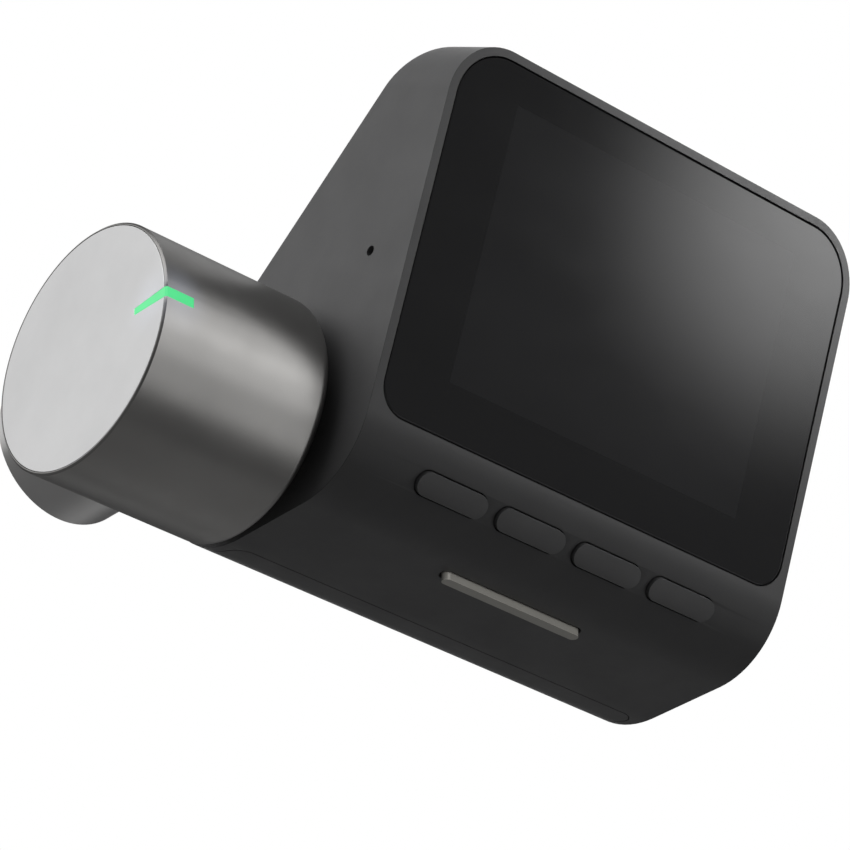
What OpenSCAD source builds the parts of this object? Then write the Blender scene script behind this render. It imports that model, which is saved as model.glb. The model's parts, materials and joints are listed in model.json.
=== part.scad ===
// Dash camera with a tilting lens barrel beside a wedge-shaped screen unit.
// Frame: +X to the right as the driver sees the screen, +Y forward to the
// windscreen, +Z up. The origin is the middle of the slanted mounting face.

/* [Screen unit] */
// Width of the screen unit
body_w = 58.7; // [57:0.1:60]
// Height of its top above the middle of the display
top_z = 20.4; // [20.2:0.1:20.8]
// Radius of the two upper corners, seen from the driver
corner_r = 7.0; // [5:0.5:8]
// Height at which the flat screen side ends and its lower curve starts
face_low_z = -21.5; // [-21.7:0.1:-21.3]
// Radius of the curve that carries the buttons
chin_r = 10.1; // [9.8:0.1:10.3]
// Slope of the underside below the horizontal, going forward
base_angle = 18.9; // [18.5:0.1:19.3]
// Radius of the lower nose
nose_r = 13.0; // [12.8:0.1:13.2]
// Depth from the screen side to the nose
body_depth = 33.7; // [33.2:0.1:33.8]
// Lean of the slanted mounting face from the vertical
lean_angle = 34.8; // [34.4:0.1:35.2]
// Depth of the slanted face at the height of the top edge
top_depth = 7.7; // [7.4:0.1:8]
// Rise of the top surface above the horizontal, going forward
top_rise = 9.5; // [8.5:0.5:10.5]
// Thickness of the casing walls
wall = 1.6; // [1.4:0.1:1.8]

/* [Screen] */
// Width of the cover glass
glass_w = 56.4; // [55:0.1:56.6]
// Top edge of the cover glass
glass_top_z = 19.38; // [19:0.01:19.4]
// Bottom edge of the cover glass
glass_low_z = -21.02; // [-21.1:0.01:-20.5]
// Thickness of the cover glass
glass_t = 1.0; // [0.7:0.1:1.1]
// Width of the lit area of the display
display_w = 40.8; // [39:0.1:41.2]
// Height of the lit area of the display
display_h = 30.6; // [29:0.1:31]

/* [Buttons] */
// Distance from one button to the next
button_pitch = 10.78; // [10.3:0.01:11]
// Length of a button
button_l = 9.1; // [8:0.1:9.4]
// Height of a button
button_h = 2.6; // [2:0.1:2.9]
// How far a button stands out of the casing
button_proud = 0.45; // [0.3:0.05:0.6]
// How far a button can be pressed
button_travel = 0.35; // [0.2:0.05:0.4]

/* [Lens barrel] */
// Radius of the barrel
barrel_r = 13.50; // [13.3:0.05:13.6]
// Distance from the screen unit's middle to the barrel's outer end
barrel_out_x = 52.5; // [52:0.1:53]
// Distance from the screen unit's middle to the barrel's inner end
barrel_in_x = 31.2; // [31:0.1:31.6]
// Depth of the barrel's axis behind the screen side
barrel_y = 17.62; // [17.4:0.01:17.8]
// Height of the barrel's axis
barrel_z = -22.36; // [-22.5:0.01:-22.2]
// Radius of the lens tube
tube_r = 8.50; // [8.3:0.05:8.6]
// Distance from the barrel's axis to the tube's front edge
tube_reach = 17.16; // [16.8:0.01:17.6]
// Distance from the screen unit's middle to the tube's axis
tube_x = 41.7; // [41.5:0.1:41.9]
// Tilt of the lens below the horizontal at rest
lens_dip = 18.8; // [15:0.1:22]

/* [Hidden] */
$fn = 96;

// small distances that recur
seam = 0.10;            // open line between two casing parts
slip = 0.03;            // clearance of glued or pressed parts in one body
run_gap = 0.05;         // radial clearance of the turning shaft
far = 80;               // longer than the whole object
over = 1;               // how far a cutting shape runs past what it cuts

// ---- side outline, in (y, z) ----
lean_n = [cos(lean_angle), sin(lean_angle)];     // outward normal of the slanted face
lean_t = [sin(lean_angle), -cos(lean_angle)];    // down along the slanted face
base_n = [-sin(base_angle), -cos(base_angle)];   // outward normal of the underside
chin_c = [chin_r, face_low_z];                   // centre of the button curve
base_d = base_n * chin_c + chin_r;               // underside plane
lean_d = lean_n * [top_depth, top_z];            // slanted plane
crest = 5;                                       // how far the side outline runs on past the top
nose_y = body_depth - nose_r;
nose_c = [nose_y, (base_d - nose_r - base_n[0] * nose_y) / base_n[1]];
brow_r = 8;                                      // rounding between nose and slanted face
brow_y = body_depth - brow_r;
brow_c = [brow_y, (lean_d - brow_r - lean_n[0] * brow_y) / lean_n[1]];

// ---- slanted mounting face ----
mount_s = 19;                                    // distance down the face from the top edge
mount_p = [top_depth, top_z] + mount_s * lean_t; // middle of the mounting face

// ---- front cover ----
cover_edge = 1.25;                               // from the casing's sides and top
cover_w = body_w - 2 * cover_edge;
cover_t = 1.1;
cover_corner = 2;
bite = 0.02;                                     // lets its corner curve cross the edges at an angle
cover_deep = 5.4;                                // how far inwards it reaches at the mounting slots
cover_back_y = 18.0;                             // its edge across the underside
cover_ledge = 1.0;                               // casing rim that it rests on

// ---- mounting slots ----
slot_x = 9;
slot_neck = 3.2;
slot_wide = 5.8;
slot_lip = 1.4;
slot_deep = 3.0;
slot_l = 19;
slot_mouth = 5.6;                                // wide part where the hook goes in
socket_depth = 4.2;
socket_w = 2 * slot_x + slot_wide + 3;
socket_l = 24;
screw_s = 34;                                    // cover screws, down the slanted face
screw_x = body_w / 2 - wall - 2.45;
vent_count = 5;
vent_pitch = 8;
vent_l = 6;
vent_h = 1.2;
vent_s = mount_s + socket_l / 2 + 3;
recess_deep = 0.8;                               // round the head of a cover screw

// ---- screen stack, depths behind the screen side ----
tape_t = 0.2;
glass_seat_y = glass_t + tape_t;
face_wall = 2.6;                                 // thicker wall round the display
face_foot_z = -22.3;                             // where it ends, above the buttons
glass_corner = corner_r - (body_w - glass_w) / 2;
glass_foot = 3.2;
glass_line = 0.12;                               // dark line round the glass
panel_w = display_w + 5.6;                       // lit area and its dark frame
panel_h = display_h + 5.2;
window_w = panel_w + 0.8;                        // opening in the casing behind the glass
window_h = panel_h + 0.8;
panel_corner = 0.4;
panel_gap = 0.05;                                // between glass, panel and backlight
panel_t = 1.3;
panel_y = glass_t + panel_gap;
tape_inset = 0.4;                                // from the window to the tape
light_t = 2.2;
board_y = 6.3;
board_t = 1.0;
board_back = board_y + board_t;
board_w = 53.6;
board_low_z = -18.4;
board_top_z = 15.2;
board_corner_low = 0.8;
board_corner_top = 3;
post_x = 25.4;
post_r = 1.75;
post_z = [-15.6, 12.2];
screw_bore = 0.85;
screw_shank_r = 0.8;
screw_hole_r = 1.1;                              // through the board
boss_r = 2.6;                                    // round each cover screw
boss_l = 9;
chip_w = 10;
chip_t = 1.2;
chip_at = [-6, 4.1];
shield_size = [15, 12];
shield_t = 0.2;
shield_h = 2.2;
memory_size = [8, 9];
memory_t = 0.9;
memory_at = [[7.5, 5.2], [-19, 6]];
battery_x = -2.7;
battery_w = 30;
battery_z = [-18.2, -2.4];
battery_t = 5.6;
battery_corner = 1.2;
pad_t = 0.95;
pad_size = [24, 12];

// ---- buttons, on the curve ----
button_angle = 25.2;                             // below the horizontal
button_hole = 0.15;                              // gap round a button
button_seat = 8.1;                               // inner end, from the curve's centre
flange_t = 0.5;
switch_t = 1.0;
switch_size = [4.4, 3.0];
stem_r = 0.9;
stem_t = 0.4;
button_count = 4;
button_board_t = 0.8;
switch_seat = button_seat - flange_t - button_travel - seam - stem_t - switch_t;

// ---- speaker slot, on the underside ----
slot_u = 8.18;                                   // its middle, as a depth behind the screen
bar_l = 18.9;
bar_w = 1.17;
bar_proud = 0.78;
bar_gap = 0.29;
bar_foot_t = 0.5;
bar_foot_rim = 3.5;
bar_hole_pitch = 3.6;
speaker_size = [19, 8.6];
speaker_h = 3.2;
speaker_rim = 1.0;
speaker_shift = 2.9;                             // forward of the slot

// ---- side openings ----
mic_y = 6.46;
mic_z = -3.79;
mic_r = 0.55;
mic_boot_l = 3.2;
mic_boot_r = 2.8;
mic_body_r = 2.0;
mic_body_l = 1.4;
mic_inset = 1.6;                                 // from the wall to the microphone
usb_z = 5.6;
usb_w = 9.0;
usb_h = 3.2;
card_z = -6.5;
card_w = 11.6;
card_h = 1.3;
card_y = board_back + 0.35;
card_notch_r = 2.6;
card_notch_deep = 0.7;
card_slot_w = 11.2;
card_slot_h = 1.2;
plug_gap = 0.2;                                  // round the power socket
card_socket_size = [14.5, 1.9, 14.4];
usb_y = board_back + 0.1 + usb_h / 2;
usb_inner_x = 6.6;                               // length of the socket inside the wall
usb_l = 7.6;
usb_wall = 0.3;
usb_tongue = [6.7, 0.7];

// ---- hinge ----
hinge_gap = 0.3;                                 // barrel neck to casing
neck_r = 9.5;
shaft_r = 5.0;
shaft_bore = 3.4;
shaft_in_x = 24.2;
bush_r = 6.6;
bush_flange_r = 8.0;
bush_flange_t = 1.0;
side_in_x = body_w / 2 - wall;
clip_x = 25.2;
clip_t = 0.6;
clip_r = 6.6;
clip_mouth = 5.2;
groove_r = 4.5;
collar_r = bush_flange_r + 1.2;
collar_in_x = -side_in_x + 0.6;                  // inner face of the collar round the hinge
spring_r = 7.4;
spring_rise = 0.35;
spring_t = 0.3;

// ---- flat leads ----
lead_r = 2.0;                                    // rolled up inside the hinge shaft
lead_t = 0.3;
lead_x = -24.2;
lead_w = 5.4;
lead_y = board_back + 1.52;
camera_socket_z = board_low_z + 6.2;

// ---- barrel and lens ----
barrel_wall = 1.33;
barrel_fillet = 1.2;
rim = 0.2;
cap_r = barrel_r - 0.35;
cap_t = 1.4;
guide_from = 156.7;                              // angle round the barrel, from +Y to +Z
guide_span = 4.8;
guide_inner_r = 8.5;
guide_leg = 3.45;
tube_bore = 7.1;
tube_foot_z = 6.4;
led_size = [0.8, 1.6, 0.8];
tube_flange_r = 8.8;
bezel_z = [14.2, 16.7];
bezel_lip = 15.0;                                // where its funnel starts
lens_r = 4.8;
lens_dome_r = 7.5;
lens_tip = 15.9;
cell_r = 6.0;
cell_z = [0.6, 14.1];
rear_r = 3.55;
rear_dome_r = 9;
rear_z = [4, 7.6];
filter_w = 4.6;
holder_w = 15;
holder_z = [-3.8, 3.4];
sensor_w = 7.4;
sensor_back_z = holder_z[0] - 1.0;
sensor_screw_at = 6;
sensor_screw_r = 0.65;

// Everything below is drawn from the middle of the display and set down here
module from_mount() {
    translate([0, -mount_p[0], -mount_p[1]]) children();
}

// Extrude a (y, z) outline across the width
module across(width) {
    rotate([90, 0, 90]) linear_extrude(height = width, center = true) children();
}

// Extrude an (x, z) outline from depth y0 to depth y1
module deep(y0, y1) {
    translate([0, y1, 0]) rotate([90, 0, 0]) linear_extrude(height = y1 - y0) children();
}

// Extrude an (x, z) outline all the way along the rise of the top surface
module along_top() {
    translate([0, 0, top_z]) rotate([top_rise, 0, 0]) translate([0, 0, -top_z])
        deep(-far, far) children();
}

// Stand on the slanted face at distance s down it: X across, Y down it, Z out of it
module on_slant(s) {
    p = [top_depth, top_z] + s * lean_t;
    translate([0, p[0], p[1]]) rotate([lean_angle - 90, 0, 0]) children();
}

// Stand on the underside at depth y: X across, Y forward along it, Z into the casing
module on_base(y) {
    z = (base_d - base_n[0] * y) / base_n[1];
    translate([0, y, z]) rotate([-base_angle, 0, 0]) children();
}

// Stand at the centre of the button curve: X across, Z out through the buttons
module on_chin() {
    translate([0, chin_c[0], chin_c[1]]) rotate([90 + button_angle, 0, 0]) children();
}

// Stand on the barrel's axis, looking along it
module on_axis() {
    translate([0, barrel_y, barrel_z]) children();
}

// Stand at the lens axis: Z out through the lens, X across
module on_lens() {
    translate([-tube_x, barrel_y, barrel_z]) rotate([-90 - lens_dip, 0, 0]) children();
}

// Turn an (r, x) outline round the barrel's axis
module turned() {
    on_axis() rotate([0, 90, 0]) rotate_extrude() children();
}

// Ring or disc round the barrel's axis, from x0 to x1
module ring(outer, inner, x0, x1) {
    on_axis() rotate([0, 90, 0]) translate([0, 0, x0]) difference() {
        cylinder(r = outer, h = x1 - x0);
        if (inner > 0) translate([0, 0, -1]) cylinder(r = inner, h = x1 - x0 + 2);
    }
}

// Upright tube or disc from z0 to z1
module tube(outer, inner, z0, z1) {
    translate([0, 0, z0]) difference() {
        cylinder(r = outer, h = z1 - z0);
        if (inner > 0) translate([0, 0, -1]) cylinder(r = inner, h = z1 - z0 + 2);
    }
}

// Block centred across X and Y, from z0 to z1
module slab(x, y, z0, z1) {
    translate([-x / 2, -y / 2, z0]) cube([x, y, z1 - z0]);
}

// Rectangle from z0 to z1 with its own upper and lower corner radii
module plate(w, z0, z1, r_low, r_high) {
    translate([-w / 2, z0 + r_low]) square([w, z1 - z0 - r_low - r_high]);
    translate([-w / 2 + r_low, z0]) square([w - 2 * r_low, z1 - z0 - r_high]);
    translate([-w / 2 + r_high, z0 + r_low]) square([w - 2 * r_high, z1 - z0 - r_low]);
    for (side = [-1, 1]) {
        if (r_low > 0) translate([side * (w / 2 - r_low), z0 + r_low]) circle(r = r_low);
        if (r_high > 0) translate([side * (w / 2 - r_high), z1 - r_high]) circle(r = r_high);
    }
}

// Slot outline with round ends
module pill(l, h) {
    square([l - h, h], center = true);
    for (side = [-1, 1]) translate([side * (l - h) / 2, 0]) circle(r = h / 2);
}

// Side outline of the screen unit, moved inwards by t; it runs on past the top
module side_outline(t = 0) {
    beyond = [top_depth, top_z] - t * lean_n - crest * lean_t;
    polygon([
        [t, beyond[1]],
        [t, chin_c[1]],
        chin_c,
        chin_c + (chin_r - t) * base_n,
        nose_c + (nose_r - t) * base_n,
        nose_c,
        [body_depth - t, nose_c[1]],
        [body_depth - t, brow_c[1]],
        brow_c,
        brow_c + (brow_r - t) * lean_n,
        beyond
    ]);
    translate(chin_c) circle(r = chin_r - t);
    translate(nose_c) circle(r = nose_r - t);
    translate(brow_c) circle(r = brow_r - t);
}

// The screen unit as one block, moved inwards by t
module block(t = 0) {
    intersection() {
        across(far) side_outline(t);
        along_top() plate(body_w - 2 * t, -far, top_z - t, 0, corner_r - t);
    }
}

// The part of space that the front cover takes up, grown by g
module cover_space(g = 0) {
    inner = [top_depth, top_z] - cover_deep * lean_n;
    back_y = cover_back_y - g;
    corner = cover_corner + g;
    difference() {
        intersection() {
            across(far) polygon([
                [back_y, -far], [far, -far], [far, far], inner - far * lean_t,
                inner + (back_y - inner[0]) / lean_t[0] * lean_t
            ]);
            along_top()
                plate(cover_w + 2 * g, -far, top_z - cover_edge + g, 0, corner_r - cover_edge + g);
        }
        for (side = [-1, 1]) translate([0, 0, -far]) linear_extrude(height = far + nose_c[1]) difference() {
            translate([side * (cover_w / 2 + g), back_y]) square(2 * corner, center = true);
            translate([side * (cover_w / 2 + g - corner + bite), back_y + corner - bite])
                circle(r = corner);
        }
    }
}

// Hole and head recess of a cover screw, in the slanted face's frame
module screw_way() {
    translate([0, 0, -boss_l]) cylinder(r = screw_shank_r + 0.2, h = boss_l + over);
    translate([0, 0, -recess_deep]) cylinder(r = 1.75, h = recess_deep + over);
}

// A pan-head screw: head above z = 0, shank below
module pan_screw(head_r, head_t, shank_r, shank_l) {
    difference() {
        translate([0, 0, slip]) cylinder(r = head_r, h = head_t - slip);
        for (turn = [0, 90]) rotate([0, 0, turn])
            translate([-head_r * 0.55, -0.2, head_t - 0.3]) cube([head_r * 1.1, 0.4, 1]);
    }
    translate([0, 0, -shank_l]) cylinder(r = shank_r, h = shank_l + 2 * slip);
}

// Positions of the four board posts
module at_posts() {
    for (side = [-1, 1], z = post_z) translate([side * post_x, 0, z]) children();
}

module at_cover_screws() {
    for (side = [-1, 1]) on_slant(screw_s) translate([side * screw_x, 0, 0]) children();
}

module at_sensor_screws() {
    for (side = [-1, 1]) translate([side * sensor_screw_at, side * sensor_screw_at, 0]) children();
}

// Place of button i along the width
function button_x(i) = (i - (button_count - 1) / 2) * button_pitch;

// ---- screen unit ----

module housing() {
    color("#3c3c3e") from_mount() difference() {
        union() {
            difference() {
                block();
                difference() {
                    block(wall);
                    translate([-far, -far, face_foot_z]) cube([2 * far, far + face_wall, far]);
                }
                // seat of the front cover, and the opening under it
                difference() {
                    cover_space(seam);
                    across(far + 2 * over) side_outline(cover_t + seam);
                }
                cover_space(-cover_ledge);
            }
            // posts for the board, and bosses for the cover screws
            at_posts() deep(face_wall - over / 2, board_y) circle(r = post_r);
            at_cover_screws() tube(boss_r, 0, -boss_l, -cover_t - seam);
            // collar round the hinge
            ring(collar_r, 0, -side_in_x - over / 2, collar_in_x);
        }
        // seat of the glass, and the window behind it
        deep(-over, glass_seat_y) plate(glass_w + 2 * glass_line, glass_low_z - glass_line,
            glass_top_z + glass_line, glass_foot + glass_line, glass_corner + glass_line);
        deep(0, face_wall + over) plate(window_w, -window_h / 2, window_h / 2, 1, 1);
        // button holes
        for (i = [0 : button_count - 1]) on_chin() translate([button_x(i), 0, chin_r / 2])
            linear_extrude(height = chin_r)
                pill(button_l + 2 * button_hole, button_h + 2 * button_hole);
        // speaker slot
        on_base(slot_u) translate([0, 0, -over]) linear_extrude(height = wall + 2 * over)
            pill(bar_l + 2 * bar_gap, bar_w + 2 * bar_gap);
        // microphone hole, hinge hole, power and card openings
        translate([-body_w / 2 - over, mic_y, mic_z]) rotate([0, 90, 0])
            cylinder(r = mic_r, h = wall + 2 * over);
        ring(bush_r + slip, 0, -body_w / 2 - over, collar_in_x + over);
        translate([side_in_x - over, usb_y, usb_z]) rotate([90, 0, 90])
            linear_extrude(height = wall + 2 * over)
                rotate(90) pill(usb_w + 2 * plug_gap, usb_h + 2 * plug_gap);
        translate([side_in_x - over, card_y, card_z - card_w / 2])
            cube([wall + 2 * over, card_h, card_w]);
        translate([body_w / 2 - card_notch_deep, card_y + card_h / 2, card_z]) rotate([0, 90, 0])
            cylinder(r = card_notch_r, h = card_notch_deep + over);
        // screw holes
        at_posts() deep(face_wall, board_y + over) circle(r = screw_bore);
        at_cover_screws() tube(screw_bore, 0, over - boss_l, 0);
    }
}

module front_cover() {
    color("#38383a") from_mount() difference() {
        union() {
            intersection() {
                difference() {
                    block();
                    across(far) side_outline(cover_t);
                }
                cover_space();
            }
            // thick block that holds the mounting slots
            on_slant(mount_s) slab(socket_w, socket_l, -socket_depth, -cover_t / 2);
        }
        // T-shaped slots, each with a wide mouth at its upper end
        for (side = [-1, 1]) on_slant(mount_s) translate([side * slot_x, 0, 0]) {
            slab(slot_neck, slot_l, -slot_deep, over);
            slab(slot_wide, slot_l, -slot_deep, -slot_lip);
            translate([0, (slot_mouth - slot_l) / 2, 0]) slab(slot_wide, slot_mouth, -slot_deep, over);
        }
        // vents above the nose
        for (i = [0 : vent_count - 1]) on_slant(vent_s)
            translate([(i - (vent_count - 1) / 2) * vent_pitch, 0, -cover_t - over])
                linear_extrude(height = cover_t + 2 * over) pill(vent_l, vent_h);
        at_cover_screws() screw_way();
    }
}

module cover_glass() {
    color("#202022") from_mount()
        deep(0, glass_t) plate(glass_w, glass_low_z, glass_top_z, glass_foot, glass_corner);
}

module glass_adhesive() {
    inset = tape_inset;
    color("#101010") from_mount() difference() {
        deep(glass_t, glass_seat_y)
            plate(glass_w, glass_low_z, glass_top_z, glass_foot, glass_corner);
        deep(glass_t - over, glass_seat_y + over)
            plate(window_w + 2 * inset, -window_h / 2 - inset, window_h / 2 + inset, 1, 1);
    }
}

module lcd_panel() {
    color("#2c2c30") from_mount() deep(panel_y, panel_y + panel_t)
        plate(panel_w, -panel_h / 2, panel_h / 2, panel_corner, panel_corner);
}

module backlight() {
    y0 = panel_y + panel_t + panel_gap;
    color("#c9ccd0") from_mount() deep(y0, y0 + light_t)
        plate(panel_w, -panel_h / 2, panel_h / 2, panel_corner, panel_corner);
}

module main_board() {
    color("#1d5c3a") from_mount() difference() {
        deep(board_y + slip, board_back)
            plate(board_w, board_low_z, board_top_z, board_corner_low, board_corner_top);
        // notch round the microphone
        translate([-far - side_in_x + mic_boot_l + 0.2, 0, mic_z - mic_boot_r - 0.3])
            cube([far, far, 2 * mic_boot_r + 0.6]);
        at_posts() deep(board_y - over, board_back + over) circle(r = screw_hole_r);
    }
}

module processor() {
    color("#17171a") from_mount() deep(board_back, board_back + chip_t)
        translate(chip_at) square(chip_w, center = true);
}

module shield_can() {
    inner = [shield_size[0] - 2 * shield_t, shield_size[1] - 2 * shield_t];
    color("#b9bcc0") from_mount() difference() {
        deep(board_back, board_back + shield_h) translate(chip_at) square(shield_size, center = true);
        deep(board_back - over, board_back + shield_h - shield_t)
            translate(chip_at) square(inner, center = true);
    }
}

module memory_chips() {
    color("#17171a") from_mount() for (at = memory_at)
        deep(board_back, board_back + memory_t) translate(at) square(memory_size, center = true);
}

module battery() {
    y0 = board_back + pad_t + panel_gap;
    color("#a9adb2") from_mount() deep(y0, y0 + battery_t) translate([battery_x, 0])
        plate(battery_w, battery_z[0], battery_z[1], battery_corner, battery_corner);
}

module battery_pad() {
    color("#e8e4d8") from_mount() deep(board_back, board_back + pad_t)
        translate([battery_x, (battery_z[0] + battery_z[1]) / 2]) square(pad_size, center = true);
}

module board_screws() {
    color("#8d9094") from_mount() at_posts() translate([0, board_back, 0]) rotate([-90, 0, 0])
        pan_screw(1.7, 0.9, screw_shank_r, 3.6);
}

module cover_screws() {
    color("#2b2b2d") from_mount() at_cover_screws() translate([0, 0, slip - recess_deep])
        pan_screw(1.6, 0.7, screw_shank_r, 6.2);
}

module speaker() {
    rim_size = [speaker_size[0] - 2 * speaker_rim, speaker_size[1] - 2 * speaker_rim];
    color("#2a2a2c") from_mount() on_base(slot_u)
        translate([0, speaker_shift, wall + bar_foot_t + 0.15]) {
            difference() {
                linear_extrude(height = speaker_h) pill(speaker_size[0], speaker_size[1]);
                translate([0, 0, -over]) linear_extrude(height = over + speaker_rim / 2)
                    pill(rim_size[0], rim_size[1]);
            }
            // diaphragm
            translate([0, 0, 0.2]) linear_extrude(height = 0.4) pill(14, 4);
        }
}

module speaker_bar() {
    color("#a5a29c") from_mount() on_base(slot_u) {
        translate([0, 0, -bar_proud]) linear_extrude(height = bar_proud + wall + 0.2)
            pill(bar_l, bar_w);
        // foot behind the casing, with sound holes
        translate([0, 0, wall + slip]) linear_extrude(height = bar_foot_t) difference() {
            pill(bar_l + bar_foot_rim, bar_w + 3);
            for (i = [-2 : 2], side = [-1, 1]) translate([i * bar_hole_pitch, side * 0.95])
                square([2.6, 0.5], center = true);
        }
    }
}

module microphone() {
    color("#c8a24a") from_mount() translate([-side_in_x + mic_inset + 0.1, mic_y - 0.1, mic_z])
        rotate([0, 90, 0]) cylinder(r = mic_body_r, h = mic_body_l);
}

module mic_boot() {
    color("#1a1a1a") from_mount() translate([-side_in_x + slip, mic_y - 0.1, mic_z])
        rotate([0, 90, 0]) difference() {
            cylinder(r = mic_boot_r, h = mic_boot_l);
            translate([0, 0, -over]) cylinder(r = mic_r + 0.05, h = mic_boot_l + 2 * over);
            translate([0, 0, mic_inset]) cylinder(r = mic_body_r + 0.05, h = mic_boot_l);
        }
}

module card_socket() {
    color("#b9bcc0") from_mount()
        translate([side_in_x - card_socket_size[0] - 0.1, board_back, card_z - card_socket_size[2] / 2])
            difference() {
                cube(card_socket_size);
                translate([1, 0.4, (card_socket_size[2] - card_slot_w) / 2])
                    cube([card_socket_size[0] + over, card_slot_h, card_slot_w]);
            }
}

module usb_socket() {
    color("#c4c6ca") from_mount()
        translate([side_in_x - usb_inner_x, usb_y, usb_z]) rotate([90, 0, 90]) rotate(90) {
            difference() {
                linear_extrude(height = usb_l) pill(usb_w, usb_h);
                translate([0, 0, 2 * usb_wall]) linear_extrude(height = usb_l)
                    pill(usb_w - 2 * usb_wall, usb_h - 2 * usb_wall);
            }
            linear_extrude(height = usb_l - over) square(usb_tongue, center = true);
        }
}

module camera_socket() {
    color("#e6e0cc") from_mount() translate([lead_x - 0.8, board_back, camera_socket_z])
        cube([lead_w + 1.6, 1.5, 4]);
}

// Flat lead from the camera socket to the mouth of the hinge shaft
module board_lead() {
    foot_z = barrel_z - 1.6;
    color("#c07a2c") from_mount() {
        translate([lead_x, lead_y, foot_z]) cube([lead_w, lead_t, camera_socket_z + 3.4 - foot_z]);
        translate([lead_x + 0.4, lead_y, foot_z]) cube([lead_w - 0.8, barrel_y - lead_y, lead_t]);
        ring(lead_r, 0, lead_x + 0.4, lead_x + 3.6);
    }
}

module button_board() {
    color("#1d5c3a") from_mount() on_chin()
        slab(button_pitch * (button_count - 1) + 8, 6.2, switch_seat - button_board_t, switch_seat);
}

module switches() {
    color("#d8d8d8") from_mount() on_chin() for (i = [0 : button_count - 1])
        translate([button_x(i), 0, switch_seat]) {
            slab(switch_size[0], switch_size[1], 0, switch_t);
            tube(stem_r, 0, switch_t - 0.1, switch_t + stem_t);
        }
}

// One button: a pill whose face follows the curve, with a flange that keeps it in
module button(i) {
    color("#37373a") from_mount() {
        intersection() {
            on_chin() translate([button_x(i), 0, button_seat]) linear_extrude(height = chin_r / 2)
                pill(button_l, button_h);
            on_chin() rotate([0, 90, 0]) cylinder(r = chin_r + button_proud, h = far, center = true);
        }
        intersection() {
            on_chin() translate([button_x(i), 0, button_seat - flange_t])
                linear_extrude(height = 1.2) pill(button_l + 1.0, button_h + 0.8);
            on_chin() rotate([0, 90, 0])
                cylinder(r = chin_r - wall - 2 * slip, h = far, center = true);
        }
    }
}

// ---- hinge ----

module hinge_bush() {
    color("#d9d6cc") from_mount() {
        ring(bush_r, shaft_r + run_gap, -body_w / 2 + slip, collar_in_x + bush_flange_t);
        ring(bush_flange_r, shaft_r + run_gap, collar_in_x + slip, collar_in_x + bush_flange_t);
    }
}

module friction_washer() {
    color("#e4e1d6") from_mount()
        ring(neck_r - 0.4, bush_r + 0.3, -body_w / 2 - hinge_gap + 0.05, -body_w / 2 - 0.06);
}

module spring_washer() {
    x0 = collar_in_x + bush_flange_t + 2 * slip;
    inner = shaft_r + 3 * run_gap;
    color("#9a9da1") from_mount() turned() polygon([
        [inner, x0 + spring_rise], [spring_r, x0],
        [spring_r, x0 + spring_t], [inner, x0 + spring_rise + spring_t]
    ]);
}

module retaining_clip() {
    color("#85888c") from_mount() difference() {
        ring(clip_r, groove_r + slip, -clip_x, -clip_x + clip_t);
        on_axis() translate([-clip_x - over, -clip_mouth / 2, 0])
            cube([clip_t + 2 * over, clip_mouth, 2 * clip_r]);
    }
}

// ---- barrel ----

// L-shaped outline of the light guide in (r, x), grown by g
module guide_outline(g = 0) {
    x0 = -barrel_out_x;
    polygon([
        [guide_inner_r - g, x0 - g],
        [barrel_r - rim + g, x0 - g],
        [barrel_r + g, x0 + rim],
        [barrel_r + g, x0 + guide_leg + g],
        [barrel_r - barrel_wall - g, x0 + guide_leg + g],
        [barrel_r - barrel_wall - g, x0 + cap_t + g],
        [guide_inner_r - g, x0 + cap_t + g]
    ]);
}

// The light guide, or with g its hole: a slice of the L turned round the barrel
module guide_slice(g = 0) {
    spare = g * 180 / (PI * barrel_r);
    on_axis() rotate([guide_from - spare, 0, 0]) rotate([90, 0, 90])
        rotate_extrude(angle = guide_span + 2 * spare) guide_outline(g);
}

module barrel_shell() {
    inner_r = barrel_r - barrel_wall;
    cap_seat_r = cap_r + run_gap;
    x0 = -barrel_out_x;
    x1 = -barrel_in_x;
    x_neck = -body_w / 2 - hinge_gap;
    color("#4a4a4c") from_mount() difference() {
        union() {
            turned() {
                polygon([
                    [inner_r, x0 + cap_t], [cap_seat_r, x0 + cap_t], [cap_seat_r, x0],
                    [barrel_r - rim, x0], [barrel_r, x0 + rim], [barrel_r, x1 - barrel_fillet],
                    [barrel_r - barrel_fillet, x1], [shaft_bore, x1],
                    [shaft_bore, x1 - wall], [inner_r, x1 - wall]
                ]);
                translate([barrel_r - barrel_fillet, x1 - barrel_fillet]) circle(r = barrel_fillet);
            }
            ring(neck_r, shaft_bore, x1 - 0.2, x_neck);
            ring(shaft_r, shaft_bore, x1 - 0.2, -shaft_in_x);
        }
        // groove for the clip, bore for the lens tube, slot for the light guide
        ring(shaft_r + over, groove_r, -clip_x - slip, -clip_x + clip_t + slip);
        on_lens() tube(tube_r + slip, 0, 2, far);
        guide_slice(slip);
    }
}

module barrel_cap() {
    color("#cbcbcb") from_mount() difference() {
        ring(cap_r, 0, -barrel_out_x, -barrel_out_x + cap_t);
        guide_slice(slip);
    }
}

module status_light_guide() {
    color("#5be693") from_mount() guide_slice();
}

module led_board() {
    color("#1d5c3a") from_mount() on_axis() rotate([guide_from + guide_span / 2, 0, 0])
        translate([-barrel_out_x + cap_t + led_size[0] + 0.2, 4.6, -3]) cube([0.8, 6.6, 6]);
}

module status_led() {
    color("#f2f2e8") from_mount() on_axis() rotate([guide_from + guide_span / 2, 0, 0])
        translate([-barrel_out_x + cap_t + 0.2, 9.4, -led_size[2] / 2]) cube(led_size);
}

// ---- lens ----

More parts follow.
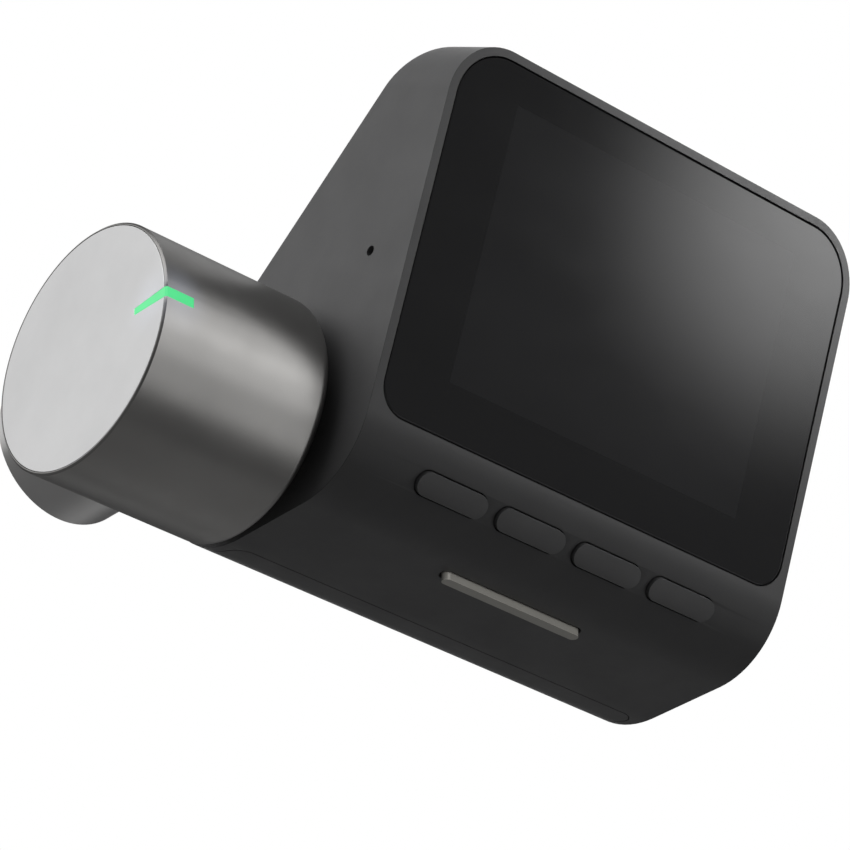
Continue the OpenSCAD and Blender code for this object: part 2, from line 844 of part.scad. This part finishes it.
module lens_tube() {
    color("#454547") from_mount() on_lens() difference() {
        union() {
            translate([0, 0, tube_foot_z]) cylinder(r = tube_r, h = tube_reach - rim - tube_foot_z);
            translate([0, 0, tube_reach - rim]) cylinder(r1 = tube_r, r2 = tube_r - rim, h = rim);
            tube(tube_flange_r, 0, tube_foot_z - 0.2, tube_foot_z + 0.9);
        }
        tube(tube_bore, 0, tube_foot_z - over, far);
    }
}

module lens_bezel() {
    color("#232325") from_mount() on_lens() difference() {
        tube(tube_bore - run_gap, 0, bezel_z[0], bezel_z[1]);
        translate([0, 0, bezel_lip])
            cylinder(r1 = lens_r + 0.2, r2 = tube_bore - 0.4, h = bezel_z[1] - bezel_lip + 0.01);
        tube(lens_r + 0.1, 0, bezel_z[0] - over, bezel_lip + 0.1);
    }
}

// Dished wide-angle front element
module front_lens() {
    color("#1b2430", 0.6) from_mount() on_lens() intersection() {
        tube(lens_r, 0, cell_z[1] - 1.2, lens_tip + over);
        translate([0, 0, lens_tip - lens_dome_r]) sphere(r = lens_dome_r);
    }
}

module lens_cell() {
    color("#18181a") from_mount() on_lens() difference() {
        tube(cell_r, 0, cell_z[0], cell_z[1]);
        tube(lens_r + run_gap, 0, cell_z[1] - 1.3, cell_z[1] + over);
        tube(rear_r + run_gap, 0, cell_z[0] - over, cell_z[1] - over);
    }
}

module rear_lens() {
    color("#2b3a4a", 0.6) from_mount() on_lens() intersection() {
        tube(rear_r, 0, rear_z[0], rear_z[1] + over);
        translate([0, 0, rear_z[1] - rear_dome_r]) sphere(r = rear_dome_r);
    }
}

module infrared_filter() {
    color("#5f8f86", 0.7) from_mount() on_lens()
        slab(filter_w, filter_w, cell_z[0] + 0.2, cell_z[0] + 0.6);
}

module lens_holder() {
    recess_z = holder_z[0] + 1.8;
    color("#202022") from_mount() on_lens() difference() {
        slab(holder_w, holder_w, holder_z[0], holder_z[1]);
        tube(cell_r + run_gap, 0, recess_z - 0.2, holder_z[1] + over);
        slab(9, 9, holder_z[0] - over, recess_z);
        at_sensor_screws() tube(sensor_screw_r + slip, 0, holder_z[0] - over, -0.5);
    }
}

module image_sensor() {
    color("#3a4038") from_mount() on_lens()
        slab(sensor_w, sensor_w, holder_z[0] + slip, holder_z[0] + 0.9);
}

module sensor_board() {
    color("#1d5c3a") from_mount() on_lens() difference() {
        slab(holder_w, holder_w, sensor_back_z, holder_z[0] - slip);
        at_sensor_screws() tube(0.8, 0, sensor_back_z - over, 0);
    }
}

module sensor_screws() {
    color("#8d9094") from_mount() on_lens() at_sensor_screws()
        translate([0, 0, sensor_back_z - slip]) rotate([180, 0, 0]) pan_screw(1.2, 0.6, sensor_screw_r, 3);
}

// Lead from the sensor board, bent into the hinge shaft
module camera_lead() {
    foot_z = sensor_back_z - 0.8;
    color("#c07a2c") from_mount() {
        on_lens() slab(5.0, 4.0, foot_z, sensor_back_z - 0.05);
        on_lens() translate([4.1, 0, 0]) slab(9.0, 4.0, foot_z, foot_z + lead_t);
        on_lens() translate([8.35, 0, 0]) slab(0.5, 4.0, foot_z, 0);
        ring(lead_r, 0, -33.4, lead_x - 0.1);
    }
}

housing();
front_cover();
cover_glass();
glass_adhesive();
lcd_panel();
backlight();
main_board();
processor();
shield_can();
memory_chips();
battery();
battery_pad();
board_screws();
cover_screws();
speaker();
speaker_bar();
microphone();
mic_boot();
card_socket();
usb_socket();
camera_socket();
board_lead();
button_board();
switches();
button(0);  // button_1
button(1);  // button_2
button(2);  // button_3
button(3);  // button_4
hinge_bush();
friction_washer();
spring_washer();
retaining_clip();
barrel_shell();
barrel_cap();
status_light_guide();
led_board();
status_led();
lens_tube();
lens_bezel();
front_lens();
lens_cell();
rear_lens();
infrared_filter();
lens_holder();
image_sensor();
sensor_board();
sensor_screws();
camera_lead();
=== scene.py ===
"""Looks of the dash camera: finishes, softened edges, camera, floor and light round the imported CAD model."""

import json
import math

import bmesh
import bpy
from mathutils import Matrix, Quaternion, Vector

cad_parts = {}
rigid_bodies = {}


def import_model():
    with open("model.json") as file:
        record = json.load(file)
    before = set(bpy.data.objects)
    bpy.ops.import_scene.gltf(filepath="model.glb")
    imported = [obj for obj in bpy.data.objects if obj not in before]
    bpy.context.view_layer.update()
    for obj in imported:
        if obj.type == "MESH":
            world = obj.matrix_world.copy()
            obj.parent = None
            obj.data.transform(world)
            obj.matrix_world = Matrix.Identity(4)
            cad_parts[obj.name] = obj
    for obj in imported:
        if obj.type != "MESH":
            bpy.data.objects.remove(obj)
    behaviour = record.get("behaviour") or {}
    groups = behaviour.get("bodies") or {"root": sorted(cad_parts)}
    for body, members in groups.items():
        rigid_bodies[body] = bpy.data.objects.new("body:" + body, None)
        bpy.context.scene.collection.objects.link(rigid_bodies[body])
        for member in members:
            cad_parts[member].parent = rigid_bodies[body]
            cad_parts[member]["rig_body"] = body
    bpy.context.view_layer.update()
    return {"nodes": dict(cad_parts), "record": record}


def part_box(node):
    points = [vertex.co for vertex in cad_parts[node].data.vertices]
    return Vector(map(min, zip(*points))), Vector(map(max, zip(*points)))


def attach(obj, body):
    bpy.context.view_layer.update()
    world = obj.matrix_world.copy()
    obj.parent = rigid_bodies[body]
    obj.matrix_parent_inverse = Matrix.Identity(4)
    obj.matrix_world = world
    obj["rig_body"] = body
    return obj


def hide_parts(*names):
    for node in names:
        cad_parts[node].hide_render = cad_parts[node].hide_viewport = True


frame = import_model()
MM = 0.001


# ---- materials ----


class Nodes:
    """Short hand for building one material's node tree."""

    def __init__(self, name):
        self.material = bpy.data.materials.new(name)
        self.material.use_nodes = True
        self.tree = self.material.node_tree
        self.shader = self.tree.nodes["Principled BSDF"]

    def add(self, kind, **settings):
        made = self.tree.nodes.new(kind)
        for key, value in settings.items():
            setattr(made, key, value)
        return made

    def link(self, source, target):
        self.tree.links.new(source, target)

    def set(self, **values):
        for key, value in values.items():
            socket = self.shader.inputs[key.replace("_", " ")]
            socket.default_value = (*value, 1.0) if isinstance(value, tuple) else value

    def place(self):
        return self.add("ShaderNodeTexCoord").outputs["Object"]

    def noise(self, scale, detail=3.0, roughness=0.5, stretch=None):
        found = self.place()
        if stretch:
            mapping = self.add("ShaderNodeMapping")
            mapping.inputs["Scale"].default_value = stretch
            self.link(found, mapping.inputs["Vector"])
            found = mapping.outputs["Vector"]
        made = self.add("ShaderNodeTexNoise")
        made.inputs["Scale"].default_value = scale
        made.inputs["Detail"].default_value = detail
        made.inputs["Roughness"].default_value = roughness
        self.link(found, made.inputs["Vector"])
        return made.outputs["Fac"]

    def range(self, value, low, high, start=0.3, end=0.7):
        made = self.add("ShaderNodeMapRange")
        made.inputs["From Min"].default_value = start
        made.inputs["From Max"].default_value = end
        made.inputs["To Min"].default_value = low
        made.inputs["To Max"].default_value = high
        self.link(value, made.inputs["Value"])
        return made.outputs["Result"]

    def maths(self, operation, a, b=None):
        made = self.add("ShaderNodeMath", operation=operation)
        for socket, value in zip(made.inputs, (a, b)):
            if value is None:
                continue
            if isinstance(value, (int, float)):
                socket.default_value = value
            else:
                self.link(value, socket)
        return made.outputs[0]

    def mix(self, share, a, b):
        made = self.add("ShaderNodeMix", data_type="RGBA")
        self.link(share, made.inputs["Factor"])
        for socket, value in ((made.inputs["A"], a), (made.inputs["B"], b)):
            if isinstance(value, tuple):
                socket.default_value = (*value, 1.0)
            else:
                self.link(value, socket)
        return made.outputs["Result"]

    def bump(self, *layers):
        """Each layer is (height, distance in metres, strength)."""
        normal = None
        for height, distance, strength in layers:
            made = self.add("ShaderNodeBump")
            made.inputs["Distance"].default_value = distance
            made.inputs["Strength"].default_value = strength
            self.link(height, made.inputs["Height"])
            if normal:
                self.link(normal, made.inputs["Normal"])
            normal = made.outputs["Normal"]
        self.link(normal, self.shader.inputs["Normal"])

    def edges(self, radius):
        """1 on a sharp edge, 0 on a flat."""
        bevel = self.add("ShaderNodeBevel", samples=6)
        bevel.inputs["Radius"].default_value = radius
        geometry = self.add("ShaderNodeNewGeometry")
        dot = self.add("ShaderNodeVectorMath", operation="DOT_PRODUCT")
        self.link(bevel.outputs["Normal"], dot.inputs[0])
        self.link(geometry.outputs["Normal"], dot.inputs[1])
        return self.range(dot.outputs["Value"], 1.0, 0.0, 0.80, 0.99)


CASING = (0.085, 0.085, 0.086)
CASING_EDGE = 0.15 * MM
GRAIN = 0.010 * MM
FLAKE = 0.006 * MM
METAL_EDGE = 0.12 * MM
LIGHT_LOW, LIGHT_HIGH = (Vector(corner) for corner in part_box("status_light_guide"))
# tint and reach of the painted halo of the status light on the barrel and cap metal
PAINTED_HALO = (0.62, 0.72, 1.0)
HALO_FROM, HALO_TO = 1.2 * MM, 5.0 * MM
LIT_LOW = (-20.4 * MM, -20.1 * MM)
LIT_HIGH = (20.4 * MM, 10.5 * MM)
LIT_EDGE = 0.06 * MM


def scaled(colour, by):
    return tuple(min(1.0, c * by) for c in colour)


def grained_plastic(name, colour, roughness=0.5, edge=None):
    """Moulded plastic with a fine spark-eroded grain; the factor edge tints its sharp edges: below 1 it paints
    shade into them, above 1 a highlight.
    """
    m = Nodes(name)
    m.set(IOR=1.5, Specular_IOR_Level=0.5)
    cloud = m.noise(90.0, 4.0, 0.6)
    tone = m.mix(m.range(cloud, 0.0, 1.0), scaled(colour, 0.93), scaled(colour, 1.07))
    # painted shade (edge below 1) or painted highlight (edge above 1) along the sharp edges, broken up by
    # noise
    if edge:
        painted_edge_shade_and_highlight = m.maths("MULTIPLY", m.edges(CASING_EDGE), m.range(m.noise(600.0, 3.0), 0.8, 1.0))
        tone = m.mix(painted_edge_shade_and_highlight, tone, scaled(colour, edge))
    m.link(tone, m.shader.inputs["Base Color"])
    handled = m.noise(160.0, 5.0, 0.65)
    m.link(m.range(handled, roughness - 0.05, roughness + 0.05), m.shader.inputs["Roughness"])
    fine = m.noise(5200.0, 2.0, 0.6)
    coarse = m.noise(1700.0, 2.0, 0.5)
    m.bump((fine, GRAIN, 0.55), (coarse, GRAIN * 1.4, 0.35))
    return m.material


def satin_metal(name, colour, roughness=0.3, metallic=1.0, streak=None, glow=0.0):
    """Fine blasted or coated metal, its grain drawn out along one way if streak is given.

    glow is the strength of a painted halo of the status light: the metal itself emits a bluish tint that fades
    with distance from the light guide.
    """
    m = Nodes(name)
    m.set(Metallic=metallic)
    cloud = m.noise(70.0, 4.0, 0.6)
    tone = m.mix(m.range(cloud, 0.0, 1.0), scaled(colour, 0.95), scaled(colour, 1.05))
    # sharp edges drawn up to 1.6 times lighter, in patches along their length
    lighter_edges = m.maths("MULTIPLY", m.edges(METAL_EDGE), m.range(m.noise(700.0, 3.0), 0.1, 0.8))
    tone = m.mix(lighter_edges, tone, scaled(colour, 1.6))
    m.link(tone, m.shader.inputs["Base Color"])
    patch = m.noise(220.0, 4.0, 0.6)
    m.link(m.range(patch, roughness - 0.03, roughness + 0.03), m.shader.inputs["Roughness"])
    fine = m.noise(7000.0, 2.0, 0.6, stretch=streak)
    m.bump((fine, FLAKE, 0.5))
    # painted halo: the metal emits a bluish tint that fades with distance from the light guide
    if glow:
        reach = m.add("ShaderNodeVectorMath", operation="DISTANCE")
        m.link(m.place(), reach.inputs[0])
        reach.inputs[1].default_value = (LIGHT_LOW + LIGHT_HIGH) / 2
        near = m.range(reach.outputs["Value"], 1.0, 0.0, HALO_FROM, HALO_TO)
        soft = m.maths("MULTIPLY", near, near)
        m.link(m.mix(soft, (0.0, 0.0, 0.0), PAINTED_HALO), m.shader.inputs["Emission Color"])
        m.set(Emission_Strength=glow)
    return m.material


def rubbery(name, colour, roughness=0.7):
    m = Nodes(name)
    cloud = m.noise(500.0, 4.0, 0.6)
    tone = m.mix(m.range(cloud, 0.0, 1.0), scaled(colour, 0.8), scaled(colour, 1.2))
    m.link(tone, m.shader.inputs["Base Color"])
    m.link(m.range(cloud, roughness - 0.06, roughness + 0.06), m.shader.inputs["Roughness"])
    m.bump((m.noise(2600.0, 3.0), 0.00002, 0.5))
    return m.material


def glossy_plastic(name, colour, roughness=0.25, coat=0.0):
    m = Nodes(name)
    m.set(Coat_Weight=coat, Coat_Roughness=0.08)
    cloud = m.noise(300.0, 3.0)
    tone = m.mix(m.range(cloud, 0.0, 1.0), scaled(colour, 0.92), scaled(colour, 1.08))
    m.link(tone, m.shader.inputs["Base Color"])
    m.link(m.range(m.noise(900.0, 3.0), roughness - 0.05, roughness + 0.05), m.shader.inputs["Roughness"])
    m.bump((m.noise(1500.0, 2.0), 0.000006, 0.3))
    return m.material


def board_material(name):
    """Green solder mask over copper tracks and pads."""
    m = Nodes(name)
    m.set(Coat_Weight=0.5, Coat_Roughness=0.15)
    brick = m.add("ShaderNodeTexBrick")
    brick.inputs["Scale"].default_value = 420.0
    brick.inputs["Mortar Size"].default_value = 0.06
    mapping = m.add("ShaderNodeMapping")
    mapping.inputs["Rotation"].default_value = (math.radians(90), 0.0, 0.0)
    m.link(m.place(), mapping.inputs["Vector"])
    m.link(mapping.outputs["Vector"], brick.inputs["Vector"])
    tracks = brick.outputs["Fac"]
    m.link(m.mix(tracks, (0.010, 0.075, 0.035), (0.025, 0.16, 0.07)), m.shader.inputs["Base Color"])
    m.link(m.range(m.noise(800.0), 0.3, 0.42), m.shader.inputs["Roughness"])
    m.bump((tracks, 0.00002, 0.6), (m.noise(3000.0), 0.000004, 0.4))
    return m.material


def screen_material(name, low, high):
    """Black printed cover glass; the lit area behind it, from low to high in (x, z), is a shade lighter."""
    m = Nodes(name)
    m.set(IOR=1.5, Specular_IOR_Level=0.5, Coat_Weight=0.6, Coat_Roughness=0.02, Coat_IOR=1.5)
    parts = m.add("ShaderNodeSeparateXYZ")
    m.link(m.place(), parts.inputs["Vector"])
    inside = None
    for axis, a, b in (("X", low[0], high[0]), ("Z", low[1], high[1])):
        for value, start, end in (
            (parts.outputs[axis], a - LIT_EDGE, a + LIT_EDGE),
            (m.maths("MULTIPLY", parts.outputs[axis], -1.0), -b - LIT_EDGE, -b + LIT_EDGE),
        ):
            step = m.range(value, 0.0, 1.0, start, end)
            inside = step if inside is None else m.maths("MULTIPLY", inside, step)
    faint = m.range(m.noise(120.0, 2.0), 0.96, 1.04)
    lit = m.maths("MULTIPLY", inside, faint)
    m.link(m.mix(lit, (0.022, 0.022, 0.023), (0.042, 0.042, 0.044)), m.shader.inputs["Base Color"])
    smear = m.noise(45.0, 5.0, 0.7, stretch=(1.0, 1.0, 2.2))
    m.link(m.range(smear, 0.10, 0.16), m.shader.inputs["Roughness"])
    m.bump((m.noise(900.0, 2.0), 0.0000008, 0.2))
    return m.material


def light_guide_material(name):
    """Milky green light guide, lit from behind."""
    m = Nodes(name)
    m.set(Subsurface_Weight=0.0, Roughness=0.35, Coat_Weight=0.3, Coat_Roughness=0.1)
    cloud = m.range(m.noise(900.0, 2.0), 0.94, 1.06)
    tone = m.mix(cloud, (0.010, 0.075, 0.028), (0.012, 0.085, 0.032))
    m.link(tone, m.shader.inputs["Base Color"])
    glow = m.mix(m.range(m.noise(260.0, 1.0), 0.0, 1.0), (0.092, 0.74, 0.265), (0.104, 0.80, 0.295))
    m.link(glow, m.shader.inputs["Emission Color"])
    m.set(Emission_Strength=0.98)
    m.bump((m.noise(4000.0, 2.0), 0.000003, 0.3))
    return m.material


def lens_material(name, tint, film):
    """Coated optical glass."""
    m = Nodes(name)
    m.set(Transmission_Weight=1.0, IOR=1.6, Thin_Film_Thickness=film, Thin_Film_IOR=1.38, Coat_Weight=0.15)
    m.set(Coat_Tint=(0.75, 0.62, 1.0), Coat_Roughness=0.02)
    tone = m.mix(m.range(m.noise(200.0, 2.0), 0.0, 1.0), tint, scaled(tint, 1.05))
    m.link(tone, m.shader.inputs["Base Color"])
    m.link(m.range(m.noise(500.0, 3.0), 0.005, 0.02), m.shader.inputs["Roughness"])
    return m.material


finishes = {
    # casing and cover: edge=0.12 paints shade into their sharp edges and seams
    "casing": grained_plastic("casing", CASING, edge=0.12),
    "cover": grained_plastic("cover", scaled(CASING, 0.95), edge=0.12),
    "screen_glass": screen_material("screen_glass", LIT_LOW, LIT_HIGH),
    "black_tape": rubbery("black_tape", (0.01, 0.01, 0.01)),
    "display": glossy_plastic("display", (0.02, 0.02, 0.022), 0.2),
    "display_back": satin_metal("display_back", (0.62, 0.63, 0.65), 0.35),
    "circuit_board": board_material("circuit_board"),
    "chip": grained_plastic("chip", (0.02, 0.02, 0.022), 0.45),
    "shield": satin_metal("shield", (0.55, 0.56, 0.57), 0.3),
    "battery_foil": satin_metal("battery_foil", (0.5, 0.51, 0.52), 0.35),
    "foam": rubbery("foam", (0.75, 0.72, 0.65), 0.85),
    "screw_steel": satin_metal("screw_steel", (0.45, 0.46, 0.47), 0.25),
    "black_screw": satin_metal("black_screw", (0.05, 0.05, 0.05), 0.35),
    "speaker_body": grained_plastic("speaker_body", (0.03, 0.03, 0.03)),
    "bar_metal": satin_metal("bar_metal", (0.36, 0.35, 0.32), 0.42, metallic=0.2, streak=(0.05, 1.0, 1.0)),
    "gold_part": satin_metal("gold_part", (0.75, 0.55, 0.25), 0.25),
    "black_rubber": rubbery("black_rubber", (0.015, 0.015, 0.015)),
    "socket_steel": satin_metal("socket_steel", (0.6, 0.61, 0.62), 0.25),
    "socket_plastic": glossy_plastic("socket_plastic", (0.75, 0.71, 0.60), 0.4),
    "flex_film": glossy_plastic("flex_film", (0.45, 0.2, 0.05), 0.25),
    "switch_body": glossy_plastic("switch_body", (0.6, 0.6, 0.6), 0.4),
    # buttons: edge=1.5 paints a highlight along their rims
    "button": grained_plastic("button", scaled(CASING, 0.95), edge=1.5),
    "bush_plastic": glossy_plastic("bush_plastic", (0.6, 0.58, 0.53), 0.35),
    "spring_steel": satin_metal("spring_steel", (0.5, 0.51, 0.52), 0.3),
    # barrel and cap: glow sets the strength of the painted halo of the status light
    "barrel_metal": satin_metal("barrel_metal", (0.28, 0.275, 0.268), 0.34, glow=0.20),
    "cap_metal": satin_metal("cap_metal", (0.69, 0.69, 0.69), 0.42, glow=0.12),
    "light_guide": light_guide_material("light_guide"),
    "led": glossy_plastic("led", (0.8, 0.85, 0.8), 0.2, coat=0.5),
    "tube_metal": satin_metal("tube_metal", (0.62, 0.615, 0.61), 0.34),
    "bezel": grained_plastic("bezel", (0.015, 0.015, 0.016), 0.4),
    "lens_glass": lens_material("lens_glass", (0.93, 0.96, 1.0), 520.0),
    "lens_barrel_black": satin_metal("lens_barrel_black", (0.03, 0.03, 0.03), 0.45, metallic=0.6),
    "filter_glass": lens_material("filter_glass", (0.55, 0.85, 0.8), 380.0),
}

slot_of = {}
for part in frame["record"]["subparts"]:
    slot_of[part["node"]] = part["material_slot"]
for name, piece in frame["nodes"].items():
    piece.data.materials.clear()
    piece.data.materials.append(finishes[slot_of[name]])


# ---- pieces with softened edges, in place of their CAD nodes ----


WELD = 0.0005 * MM
FLAT_ANGLE = math.radians(0.3)
ROUNDED_ANGLE = math.radians(30)
SMOOTH_ANGLE = math.radians(32)


def skin(node, width, segments=3):
    """A copy of a CAD node whose sharp edges are rounded by width."""
    bm = bmesh.new()
    bm.from_mesh(frame["nodes"][node].data)
    bmesh.ops.remove_doubles(bm, verts=bm.verts, dist=WELD)
    bmesh.ops.dissolve_limit(bm, angle_limit=FLAT_ANGLE, verts=bm.verts, edges=bm.edges)
    sharp = [e for e in bm.edges if len(e.link_faces) == 2 and e.calc_face_angle(0.0) > ROUNDED_ANGLE]
    bmesh.ops.bevel(
        bm, geom=sharp, offset=width, offset_type="OFFSET", segments=segments, profile=0.5,
        affect="EDGES", clamp_overlap=True, miter_outer="SHARP", miter_inner="SHARP",
    )
    for face in bm.faces:
        face.smooth = True
    for edge in bm.edges:
        edge.smooth = len(edge.link_faces) != 2 or edge.calc_face_angle(0.0) < SMOOTH_ANGLE
    mesh = bpy.data.meshes.new(node + "_skin")
    bm.to_mesh(mesh)
    bm.free()
    mesh.materials.append(finishes[slot_of[node]])
    piece = bpy.data.objects.new(mesh.name, mesh)
    bpy.context.scene.collection.objects.link(piece)
    weighted = piece.modifiers.new("flat_faces", "WEIGHTED_NORMAL")
    weighted.keep_sharp = True
    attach(piece, frame["nodes"][node]["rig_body"])
    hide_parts(node)


skin("housing", 0.12 * MM)
skin("front_cover", 0.10 * MM)
skin("cover_glass", 0.20 * MM, segments=4)
for number in range(1, 5):
    skin(f"button_{number}", 0.28 * MM, segments=4)
skin("speaker_bar", 0.08 * MM)
skin("barrel_shell", 0.06 * MM)
skin("barrel_cap", 0.06 * MM)
skin("lens_tube", 0.06 * MM)
skin("lens_bezel", 0.05 * MM)


# ---- camera, floor, light ----

scene = bpy.context.scene
LENS_MM = 172.1
CAMERA_AT = Vector((-0.25140, -0.33643, -0.13667))
LOOK_AT = Vector((-0.00878, -0.00008, -0.01890))
CAMERA_ROLL = math.radians(13.94)

camera_data = bpy.data.cameras.new("camera")
camera_data.lens = LENS_MM
camera_data.sensor_width = 36.0
camera_data.clip_start = 0.01
camera_data.clip_end = 20.0
camera = bpy.data.objects.new("camera", camera_data)
scene.collection.objects.link(camera)
camera.location = CAMERA_AT
camera.rotation_mode = "QUATERNION"
level = (LOOK_AT - CAMERA_AT).to_track_quat("-Z", "Y")
camera.rotation_quaternion = level @ Quaternion((0.0, 0.0, 1.0), CAMERA_ROLL)
scene.camera = camera
scene.view_settings.view_transform = "Standard"

# the floor and the sky are paler to the camera than to the object, so that the dark casing stays dark
FLOOR_Z = -0.20
FLOOR_HALF = 6.0
FLOOR_SEEN = 0.82
FLOOR_REFLECTED = 0.27
FLOOR_LIFT = 0.42
floor_mesh = bpy.data.meshes.new("floor")
corners = [(x, y, FLOOR_Z) for x, y in ((-1, -1), (1, -1), (1, 1), (-1, 1))]
floor_mesh.from_pydata([(x * FLOOR_HALF, y * FLOOR_HALF, z) for x, y, z in corners], [], [(0, 1, 2, 3)])
floor = bpy.data.objects.new("floor", floor_mesh)
scene.collection.objects.link(floor)
paper = Nodes("paper")
paper.set(Roughness=0.9, Specular_IOR_Level=0.1)
seen_floor = paper.range(paper.noise(3.0), FLOOR_SEEN - 0.01, FLOOR_SEEN + 0.01)
direct = paper.add("ShaderNodeLightPath").outputs["Is Camera Ray"]
tone = paper.add("ShaderNodeMix")
tone.inputs["A"].default_value = FLOOR_REFLECTED
paper.link(direct, tone.inputs["Factor"])
paper.link(seen_floor, tone.inputs["B"])
paper.link(tone.outputs["Result"], paper.shader.inputs["Base Color"])
paper.set(Emission_Color=(1.0, 1.0, 1.0))
paper.link(paper.maths("MULTIPLY", direct, FLOOR_LIFT), paper.shader.inputs["Emission Strength"])
floor_mesh.materials.append(paper.material)

WORLD_LIGHT = 0.13
WORLD_SEEN = 1.0
world = bpy.data.worlds.new("studio")
scene.world = world
world.use_nodes = True
tree = world.node_tree
dim = tree.nodes["Background"]
dim.inputs["Color"].default_value = (1.0, 1.0, 1.02, 1.0)
dim.inputs["Strength"].default_value = WORLD_LIGHT
seen = tree.nodes.new("ShaderNodeBackground")
seen.inputs["Color"].default_value = (1.0, 1.0, 1.0, 1.0)
seen.inputs["Strength"].default_value = WORLD_SEEN
path = tree.nodes.new("ShaderNodeLightPath")
choice = tree.nodes.new("ShaderNodeMixShader")
tree.links.new(path.outputs["Is Camera Ray"], choice.inputs["Fac"])
tree.links.new(dim.outputs["Background"], choice.inputs[1])
tree.links.new(seen.outputs["Background"], choice.inputs[2])
tree.links.new(choice.outputs["Shader"], tree.nodes["World Output"].inputs["Surface"])

MIDDLE = Vector((-0.010, 0.0, -0.012))
AWAY = (LOOK_AT - CAMERA_AT).normalized()


def facing(thing, towards, distance, around):
    """Set a lamp or card down at that distance from a point, turned to it."""
    way = Vector(towards).normalized()
    thing.location = around + way * distance
    thing.rotation_mode = "QUATERNION"
    thing.rotation_quaternion = way.to_track_quat("Z", "Y")


def soft_box(name, towards, distance, width, height, radiance, around=MIDDLE):
    """An area lamp of even radiance, sizes in metres."""
    data = bpy.data.lights.new(name, "AREA")
    data.shape = "RECTANGLE"
    data.size, data.size_y = width, height
    data.energy = radiance * math.pi * width * height
    lamp = bpy.data.objects.new(name, data)
    scene.collection.objects.link(lamp)
    facing(lamp, towards, distance, around)
    lamp.visible_camera = False
    return lamp


def round_card(name, towards, distance, radius, edge, radiance, around=MIDDLE):
    """A glowing disc whose light fades over its outer edge."""
    mesh = bpy.data.meshes.new(name)
    sides = 48
    turns = [2 * math.pi * i / sides for i in range(sides)]
    ring = [(radius * math.cos(turn), radius * math.sin(turn), 0.0) for turn in turns]
    mesh.from_pydata(ring, [], [tuple(range(sides))])
    card = bpy.data.objects.new(name, mesh)
    scene.collection.objects.link(card)
    facing(card, towards, distance, around)
    card.visible_camera = False
    card.visible_shadow = False
    glow = Nodes(name)
    reach = glow.add("ShaderNodeVectorMath", operation="LENGTH")
    glow.link(glow.place(), reach.inputs[0])
    fade = glow.add("ShaderNodeMapRange", interpolation_type="SMOOTHERSTEP")
    fade.inputs["From Min"].default_value = radius
    fade.inputs["From Max"].default_value = radius - edge
    fade.inputs["To Max"].default_value = radiance
    glow.link(reach.outputs["Value"], fade.inputs["Value"])
    lamp = glow.add("ShaderNodeEmission")
    glow.link(fade.outputs["Result"], lamp.inputs["Strength"])
    clear = glow.add("ShaderNodeBsdfTransparent")
    both = glow.add("ShaderNodeAddShader")
    glow.link(lamp.outputs["Emission"], both.inputs[0])
    glow.link(clear.outputs["BSDF"], both.inputs[1])
    glow.link(both.outputs["Shader"], glow.tree.nodes["Material Output"].inputs["Surface"])
    mesh.materials.append(glow.material)


def group(name, pieces):
    """A collection of pieces that a lamp may be kept to."""
    made = bpy.data.collections.new(name)
    scene.collection.children.link(made)
    for piece in pieces:
        made.objects.link(bpy.data.objects[piece])
    return made


BELOW_FRONT = (0.563, -0.71, -0.40)
soft_box("left_box", (-0.80, 0.60, 0.12), 0.8, 1.2, 1.0, 0.74)
side_box = soft_box("side_box", (-1.0, 0.05, -0.02), 0.8, 0.8, 0.6, 0.72)
side_box.light_linking.receiver_collection = group("cap", ["barrel_cap_skin"])
walls = group("walls", ["housing_skin", "front_cover_skin"])
wall_box = soft_box("wall_box", (-AWAY.x, AWAY.y, AWAY.z), 0.8, 0.8, 0.8, 0.22)
wall_box.light_linking.receiver_collection = walls
soft_box("top_box", (-0.70, 0.15, 0.75), 1.2, 1.0, 1.0, 1.8)
soft_box("chin_box", BELOW_FRONT, 0.42, 0.34, 0.14, 0.5)

# the glass mirrors this card in its upper corner only; the lamp beside it falls on the casing's rim
GLASS_CORNER = Vector((0.028, -0.0185, 0.0146))
CARD_MIDDLE = GLASS_CORNER + Vector((0.030, 0.0, 0.030))
MIRRORED = (AWAY.x, -AWAY.y, AWAY.z)
BUTTONS = [f"button_{number}_skin" for number in range(1, 5)]
round_card("glass_card", MIRRORED, 0.25, 0.056, 0.056, 2.9, around=CARD_MIDDLE)
corner_box = soft_box("corner_box", (0.62, -0.52, 0.50), 0.11, 0.05, 0.05, 12.0, around=GLASS_CORNER)
corner_box.light_linking.receiver_collection = group("rim", ["housing_skin", "front_cover_skin", *BUTTONS])
soft_box("nose_box", (0.50, 0.42, -0.60), 0.27, 0.30, 0.12, 0.15)
back_box = soft_box("back_box", (0.45, 0.85, 0.45), 0.9, 0.9, 0.9, 1.3)
back_box.light_linking.receiver_collection = walls
soft_box("right_box", (1.0, 0.25, 0.35), 0.9, 0.8, 0.8, 0.9)
button_box = soft_box("button_box", BELOW_FRONT, 0.41, 0.34, 0.14, 0.8)
button_box.light_linking.receiver_collection = group("buttons", BUTTONS)

# the drum has its own strip of light, bright at its upper edge and dying away downwards
DRUM_MIDDLE = Vector((-0.042, 0.0, -0.027))
drum = group("drum", ["barrel_shell_skin", "lens_tube_skin", "lens_bezel_skin"])
across = math.hypot(AWAY.y, AWAY.z)
# angle about the drum's axis, radiance and distance of each strip
STRIPS = (
    (110, 0.42, 0.5), (54, 1.30, 0.5), (28, 1.10, 0.5), (2, 0.66, 0.5), (-24, 0.42, 0.5), (-92, 0.16, 0.19),
)
for number, (angle, radiance, distance) in enumerate(STRIPS):
    turn = math.radians(angle)
    towards = (AWAY.x, -across * math.cos(turn), across * math.sin(turn))
    long, wide = 1.1 * distance, 0.46 * distance
    strip = soft_box(f"drum_box_{number}", towards, distance, long, wide, radiance, around=DRUM_MIDDLE)
    strip.light_linking.receiver_collection = drum
bar_box = soft_box("bar_box", (-0.10, -0.95, 0.14), 0.4, 0.2, 0.2, 5.5)
bar_box.light_linking.receiver_collection = group("bar", ["speaker_bar_skin"])
